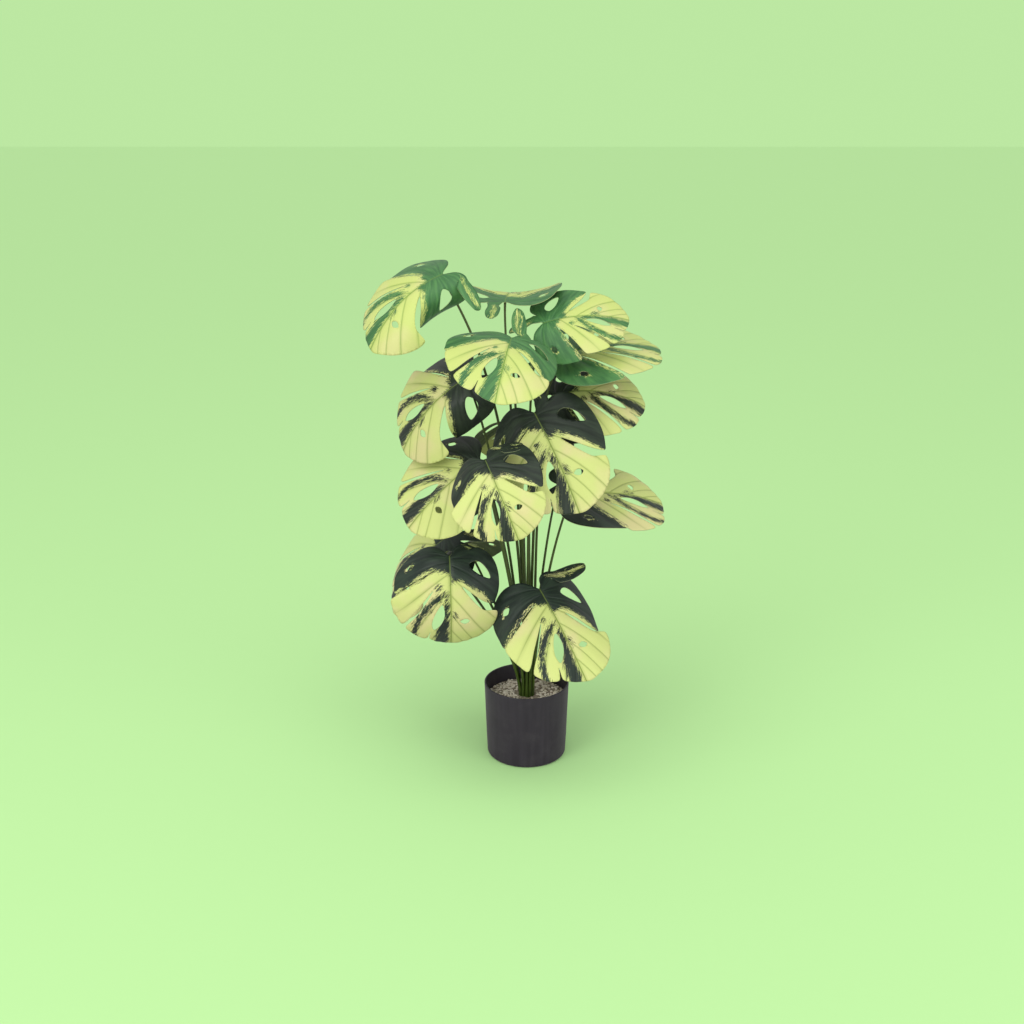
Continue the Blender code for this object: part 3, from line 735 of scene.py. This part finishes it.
wave_height = 0.006
wave_scale = 4
wave_step = 3.1
seed_step = 1.7
for number, leaf in enumerate(leaves):
    shaped = blank.copy()
    shaped.verts.ensure_lookup_table()
    depth_layer = shaped.verts.layers.float.new("green_depth")
    rib_layer = shaped.verts.layers.float.new("rib_number")
    seed_layer = shaped.verts.layers.float.new("leaf_seed")
    sheet_layer = shaped.loops.layers.uv.new("sheet")
    for face in shaped.faces:
        for corner in face.loops:
            corner[sheet_layer].uv = (corner.vert.co.x, corner.vert.co.y)
    standing = Matrix.Translation(leaf["at"]) @ Matrix.Rotation(leaf["heading"], 4, "Z")
    for vert, flat, green_at, rib_at, lift in zip(shaped.verts, flat_points, printed, ribbed, pressed):
        across, along = flat
        vert[depth_layer] = green_at
        vert[rib_layer] = rib_at
        vert[seed_layer] = number * seed_step
        wave_spot = Vector((across * wave_scale, along * wave_scale, number * wave_step))
        wave = noise.noise(wave_spot) * wave_height
        wave *= min(1.0, math.hypot(across, along - 0.1) * 2)
        vert.co = standing @ hung(across, along, lift + wave, leaf)
    piece = finished(
        "blade_" + leaf["name"], shaped, [leaf_fronts[leaf["tone"]], leaf_backs[leaf["tone"]], leaf_edge],
        ["leaf_" + leaf["name"]],
    )
    sheet_wall = piece.modifiers.new("Sheet", "SOLIDIFY")
    sheet_wall.thickness = leaf_thickness
    sheet_wall.offset = 0.0
    sheet_wall.material_offset = 1
    sheet_wall.material_offset_rim = 2
blank.free()


# ---- Petioles ----------------------------------------------------------------------------------------
# Each leaf hangs on a slender stem, a steel wire in a ribbed green plastic sleeve. The stems stand
# together in the middle of the pot, fan out upwards, and thicken a little where they meet the leaf.
foot_diameter = 0.0050
neck_diameter = 0.0032
petiole_spacing = 0.0003
stem_steps = 30
stem_sides = 12
neck_swell = 0.00045
neck_swell_length = 0.07

stem_plastic, tree, shader = new_material("stem_plastic", 0.45)
spot = place(tree, "ShaderNodeTexCoord").outputs["Object"]
height = place(tree, "ShaderNodeSeparateXYZ", {0: spot}).outputs["Z"]
stem_dark = (0.028, 0.052, 0.008, 1)
stem_light = (0.095, 0.160, 0.022, 1)
stem_olive = (0.060, 0.086, 0.020, 1)
stem_dust = (0.20, 0.22, 0.10, 1)
fibre_scale = (900, 900, 25)
fibre_relief = 0.0004
drawn = place(tree, "ShaderNodeMapping", {"Vector": spot, "Scale": fibre_scale}).outputs[0]
fibres = cloud(tree, drawn, 1.0, 3.0)
low_green = blend(tree, ramp(tree, fibres, 0.3, 0.75), stem_dark, stem_light)
stem_tint = blend(tree, ramp(tree, height, 0.15, 0.50), low_green, stem_olive)
stem_worn = use_group(
    tree, dust, Colour=stem_tint, Dust_Colour=stem_dust, Amount=0.18, Scale=70.0, Roughness=0.42
)
tree.links.new(stem_worn.outputs["Colour"], shader.inputs["Base Color"])
tree.links.new(stem_worn.outputs["Roughness"], shader.inputs["Roughness"])
bump(tree, shader, fibres, fibre_relief, 0.6)

filler_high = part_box("filler")[1].z
socket_depth = 0.045
stem_gap = 0.0005
stone_gap = 0.0004
stone_line = bed_high.z + stone_gap
neck_lean = math.radians(30)
neck_share = 0.12
first_lean = 0.12


def stem_path(leaf):
    """Points from the socket's floor to the leaf's underside."""
    ring, clock = leaf["stand"]
    radius = ring * (foot_diameter + petiole_spacing)
    clock = math.radians(clock)
    x = radius * math.sin(clock)
    y = -radius * math.cos(clock)
    heading = leaf["heading"]
    tilt = Vector((math.cos(leaf["pitch"]) * math.sin(leaf["roll"]), -math.sin(leaf["pitch"]), 0.0))
    tilt.z = math.cos(leaf["pitch"]) * math.cos(leaf["roll"])
    tilt.rotate(Matrix.Rotation(heading, 3, "Z"))
    end = leaf["at"] - tilt * (leaf_thickness / 2 + neck_diameter / 2)
    start = Vector((x, y, stone_line))
    rise = end.z - start.z
    outward = Vector((end.x - x, end.y - y, 0.0))
    level = Vector((math.sin(heading), -math.cos(heading), 0.0))
    arrival = level * math.sin(neck_lean) + Vector((0.0, 0.0, math.cos(neck_lean)))
    first = start + Vector((0.0, 0.0, rise * leaf["reach"])) + outward * first_lean
    second = end - arrival * rise * neck_share
    points = [Vector((x, y, filler_high - socket_depth + stem_gap))]
    for step in range(stem_steps + 1):
        t = step / stem_steps
        u = 1 - t
        points.append(start * u**3 + first * 3 * t * u * u + second * 3 * t * t * u + end * t**3)
    return points


for leaf in leaves:
    path = stem_path(leaf)
    stem = bmesh.new()
    last_ring = None
    for index, point in enumerate(path):
        ahead = path[min(index + 1, len(path) - 1)] - path[max(index - 1, 0)]
        share = max(0.0, (index - 1) / stem_steps)
        radius = (foot_diameter + (neck_diameter - foot_diameter) * share) / 2
        radius += neck_swell * max(0.0, 1 - (1 - share) / neck_swell_length)
        ring = bmesh.ops.create_circle(
            stem, cap_ends=False, radius=radius, segments=stem_sides,
            matrix=Matrix.Translation(point) @ ahead.to_track_quat("Z", "Y").to_matrix().to_4x4(),
        )["verts"]
        ring_edges = list({
            edge for vert in ring for edge in vert.link_edges if edge.other_vert(vert) in ring
        })
        if last_ring is None or index == len(path) - 1:
            bmesh.ops.contextual_create(stem, geom=ring_edges)
        if last_ring is not None:
            bmesh.ops.bridge_loops(stem, edges=last_ring + ring_edges)
        last_ring = ring_edges
    bmesh.ops.recalc_face_normals(stem, faces=stem.faces)
    finished("stem_" + leaf["name"], stem, [stem_plastic], ["petiole_" + leaf["name"]])


# ---- Floor, light and camera -------------------------------------------------------------------------
# A plain pale floor that carries on to the horizon, two broad soft lamps at the sides and one overhead.
# The camera stands in front, a little above the plant, and looks down at it.
floor_mesh = bpy.data.meshes.new("floor")
floor_shape = bmesh.new()
floor_reach = 30.0
bmesh.ops.create_grid(floor_shape, x_segments=1, y_segments=1, size=floor_reach)
floor_shape.to_mesh(floor_mesh)
floor_shape.free()
floor = bpy.data.objects.new("floor", floor_mesh)
bpy.context.scene.collection.objects.link(floor)
floor_paint, tree, shader = new_material("floor_paint", 0.9, 0.1)
# The floor and the sky look pale green, but light the plant evenly, with no green in it.
floor_bounce = (0.55, 0.58, 0.52, 1)
floor_green = (0.50, 0.82, 0.36, 1)
seen = place(tree, "ShaderNodeLightPath").outputs["Is Camera Ray"]
tree.links.new(blend(tree, seen, floor_bounce, floor_green), shader.inputs["Base Color"])
floor_mesh.materials.append(floor_paint)

sky = bpy.data.worlds.new("studio")
sky.use_nodes = True
tree = sky.node_tree
seen = place(tree, "ShaderNodeLightPath").outputs["Is Camera Ray"]
backdrop = tree.nodes["Background"]
sky_light = (1.0, 1.0, 0.97, 1)
sky_green = (0.92, 1.46, 0.66, 1)
sky_strength = 0.55
tree.links.new(blend(tree, seen, sky_light, sky_green), backdrop.inputs["Color"])
backdrop.inputs["Strength"].default_value = sky_strength
bpy.context.scene.world = sky


def soft_lamp(name, kind, at, aim, power, colour):
    lamp = bpy.data.lights.new(name, kind)
    lamp.energy = power
    lamp.color = colour
    holder = bpy.data.objects.new(name, lamp)
    holder.location = at
    holder.rotation_euler = (Vector(at) - Vector(aim)).to_track_quat("Z", "Y").to_euler()
    bpy.context.scene.collection.objects.link(holder)
    return lamp


key_power = 38.0
fill_power = 24.0
broad_power = 1.35
lamp_width = 2.2
key_lamp = soft_lamp("key_lamp", "AREA", (-2.2, -2.5, 1.6), (0, 0, 0.45), key_power, (1.0, 0.99, 0.96))
fill_lamp = soft_lamp("fill_lamp", "AREA", (2.4, -1.9, 1.1), (0, 0, 0.40), fill_power, (0.98, 1.0, 0.98))
for lamp in (key_lamp, fill_lamp):
    lamp.shape = "DISK"
    lamp.size = lamp_width
broad_lamp = soft_lamp("broad_lamp", "SUN", (-0.3, -1.6, 3.0), (0, 0, 0.0), broad_power, (1.0, 1.0, 0.98))
broad_lamp.angle = math.radians(70)

camera_tilt = math.radians(17.8)
camera_lens = bpy.data.cameras.new("camera")
camera_lens.lens = 45.0
camera_lens.sensor_width = 36.0
camera = bpy.data.objects.new("camera", camera_lens)
camera.location = (-0.0243, -1.941, 1.0455)
camera.rotation_euler = (math.radians(90) - camera_tilt, 0.0, 0.0)
bpy.context.scene.collection.objects.link(camera)
bpy.context.scene.camera = camera
bpy.context.scene.view_settings.view_transform = "Standard"

bpy.context.view_layer.update()
